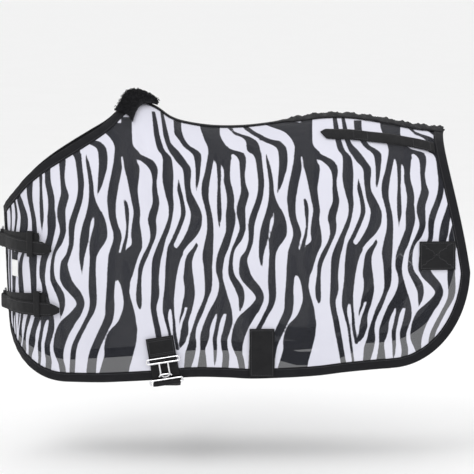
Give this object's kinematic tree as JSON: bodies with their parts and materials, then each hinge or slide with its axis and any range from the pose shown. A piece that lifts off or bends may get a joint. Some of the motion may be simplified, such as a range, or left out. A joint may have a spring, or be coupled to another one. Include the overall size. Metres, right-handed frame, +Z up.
{
  "type": "fly sheet",
  "caption": "Mesh fly sheet for a small horse, worn shape, with chest buckles, a belly strap with a T-hook clasp, leg straps and a tail strap.",
  "frame": {"origin": "spine seam at the withers, under the fleece pad", "axes": "+X toward the tail, +Y toward the off side, +Z up"},
  "size_m": [0.8644, 0.3515, 0.5397],
  "materials": {
    "mesh": "matt woven mesh with a black zebra print",
    "binding": "ribbed black tape",
    "webbing": "ribbed black webbing",
    "fleece": "curly black fleece",
    "metal": "polished",
    "plastic": "moulded black",
    "label": "white woven, blank"
  },
  "bodies": {
    "sheet": {"near_panel": "mesh", "far_panel": "mesh", "spine_tape": "binding", "near_neck_binding": "binding", "near_front_binding": "binding", "near_hem_binding": "binding", "near_tail_binding": "binding", "far_neck_binding": "binding", "far_front_binding": "binding", "far_hem_binding": "binding", "far_tail_binding": "binding", "withers_fleece": "fleece", "near_rear_patch": "webbing", "far_rear_patch": "webbing", "near_leg_patch": "webbing", "far_leg_patch": "webbing", "far_surcingle_patch": "webbing", "surcingle_tab": "webbing", "surcingle_strap": "webbing", "near_leg_dring_loop": "webbing", "far_leg_dring_loop": "webbing", "near_leg_strap": "webbing", "far_leg_strap": "webbing", "upper_buckle_tab": "webbing", "upper_keeper": "webbing", "upper_billet": "webbing", "upper_billet_patch": "webbing", "lower_buckle_tab": "webbing", "lower_keeper": "webbing", "lower_billet": "webbing", "lower_billet_patch": "webbing", "care_label": "label"},
    "upper_frame": {"upper_buckle_frame": "metal"},
    "upper_prong": {"upper_buckle_prong": "metal"},
    "lower_frame": {"lower_buckle_frame": "metal"},
    "lower_prong": {"lower_buckle_prong": "metal"},
    "clasp": {"surcingle_loop_plate": "metal", "surcingle_t_hook": "metal", "surcingle_strap_end": "webbing"},
    "surcingle_adjuster": {"surcingle_slider": "plastic"},
    "tail_strap": {"tail_strap": "webbing"},
    "near_dring": {"near_leg_dring": "metal"},
    "near_snap": {"near_leg_snap": "metal"},
    "near_gate": {"near_leg_snap_gate": "metal"},
    "near_leg_adjuster": {"near_leg_slider": "plastic"},
    "far_dring": {"far_leg_dring": "metal"},
    "far_snap": {"far_leg_snap": "metal"},
    "far_gate": {"far_leg_snap_gate": "metal"},
    "far_leg_adjuster": {"far_leg_slider": "plastic"}
  },
  "joints": [
    {"name": "upper_frame_hinge", "type": "hinge", "parent": "sheet", "child": "upper_frame", "pos_m": [-0.24199, -0.011, -0.259], "axis": [0, 0, 1], "range_deg": [0, 3]},
    {"name": "upper_prong_hinge", "type": "hinge", "parent": "upper_frame", "child": "upper_prong", "pos_m": [-0.24199, -0.011, -0.259], "axis": [0, 0, 1], "range_deg": [0, 4]},
    {"name": "lower_frame_hinge", "type": "hinge", "parent": "sheet", "child": "lower_frame", "pos_m": [-0.23765, -0.011, -0.374], "axis": [0, 0, 1], "range_deg": [0, 3]},
    {"name": "lower_prong_hinge", "type": "hinge", "parent": "lower_frame", "child": "lower_prong", "pos_m": [-0.23765, -0.011, -0.374], "axis": [0, 0, 1], "range_deg": [0, 4]},
    {"name": "clasp_hinge", "type": "hinge", "parent": "sheet", "child": "clasp", "pos_m": [0.06022, -0.17204, -0.46277], "axis": [-0.9853, 0.0558, -0.1617], "range_deg": [0, 20]},
    {"name": "surcingle_adjust", "type": "slide", "parent": "sheet", "child": "surcingle_adjuster", "axis": [0, 1, 0], "range_m": [-0.038, 0.038]},
    {"name": "tail_strap_hinge", "type": "hinge", "parent": "sheet", "child": "tail_strap", "pos_m": [0.5541, -0.08587, -0.08771], "axis": [0.0985, 0.7336, 0.6724], "range_deg": [0, 100]},
    {"name": "near_dring_hinge", "type": "hinge", "parent": "sheet", "child": "near_dring", "pos_m": [0.5467, -0.14016, -0.28355], "axis": [-0.7623, 0.0012, 0.6472], "range_deg": [-8, 8]},
    {"name": "near_snap_hinge", "type": "hinge", "parent": "sheet", "child": "near_snap", "pos_m": [0.5105, -0.1429, -0.32619], "axis": [-0.7623, 0.0012, 0.6472], "range_deg": [-3, 3]},
    {"name": "near_gate_hinge", "type": "hinge", "parent": "near_snap", "child": "near_gate", "pos_m": [0.52251, -0.13298, -0.31207], "axis": [0.7623, -0.0012, -0.6472], "range_deg": [0, 25], "stiffness_Nm_per_rad": 0.01, "springref_deg": -17.19},
    {"name": "near_leg_adjust", "type": "slide", "parent": "sheet", "child": "near_leg_adjuster", "axis": [-0.6465, -0.049, -0.7614], "range_m": [-0.03, 0.035]},
    {"name": "far_dring_hinge", "type": "hinge", "parent": "sheet", "child": "far_dring", "pos_m": [0.5467, 0.14016, -0.28355], "axis": [0.7623, 0.0012, -0.6472], "range_deg": [-8, 8]},
    {"name": "far_snap_hinge", "type": "hinge", "parent": "sheet", "child": "far_snap", "pos_m": [0.5105, 0.1429, -0.32619], "axis": [0.7623, 0.0012, -0.6472], "range_deg": [-3, 3]},
    {"name": "far_gate_hinge", "type": "hinge", "parent": "far_snap", "child": "far_gate", "pos_m": [0.52251, 0.13298, -0.31207], "axis": [-0.7623, -0.0012, 0.6472], "range_deg": [0, 25], "stiffness_Nm_per_rad": 0.01, "springref_deg": -17.19},
    {"name": "far_leg_adjust", "type": "slide", "parent": "sheet", "child": "far_leg_adjuster", "axis": [-0.6465, 0.049, -0.7614], "range_m": [-0.03, 0.035]}
  ]
}
